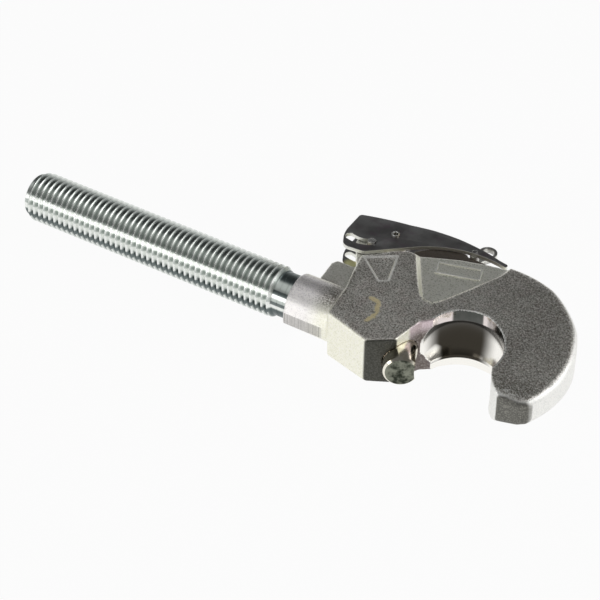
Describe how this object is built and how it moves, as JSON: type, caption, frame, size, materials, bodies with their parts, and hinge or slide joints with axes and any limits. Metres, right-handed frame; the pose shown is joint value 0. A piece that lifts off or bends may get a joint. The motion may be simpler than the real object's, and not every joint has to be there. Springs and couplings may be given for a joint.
{
  "type": "tractor top link quick hook",
  "caption": "Forged quick hook with a ball seat on a threaded shank, closed by a sprung round locking bolt that a slotted two-plate lever lifts.",
  "frame": {"origin": "centre of the ball seat, on the forging's mid-plane", "axes": "+X along the threaded shank from its free end towards the hook; +Y towards the lever, away from the mouth; +Z square to the flat faces"},
  "size_m": [0.4303, 0.1574, 0.05],
  "materials": {
    "forging": "zinc plated over a forged skin, satin",
    "thread": "bright zinc plated, rolled thread",
    "bolt": "zinc plated, turned",
    "spring": "drawn spring wire",
    "lever": "bright zinc plated sheet, glossy",
    "pin": "hardened spring steel, plated",
    "eye": "plated, darkened"
  },
  "bodies": {
    "hook": {"hook_body": "forging", "threaded_shank": "thread", "lug_pin": "pin", "bolt_spring": "spring"},
    "bolt": {"locking_bolt": "bolt", "bolt_pin": "pin"},
    "lever": {"lever_plate_near": "lever", "lever_plate_far": "lever", "pull_eye": "eye", "eye_rivet": "lever"}
  },
  "joints": [
    {"name": "bolt_slide", "type": "slide", "parent": "hook", "child": "bolt", "axis": [-0.521, 0.8536, 0], "range_m": [0, 0.02], "stiffness_N_per_m": 4100, "springref_m": -0.01, "deforming": ["bolt_spring"]},
    {"name": "lever_swing", "type": "hinge", "parent": "bolt", "child": "lever", "pos_m": [-0.10302, 0.08931, 0], "axis": [0, 0, 1], "range_deg": [0, 55.5]}
  ],
  "couplings": [
    {"joint": "lever_swing", "follows": "bolt_slide", "rad_per_m": 48.432}
  ]
}
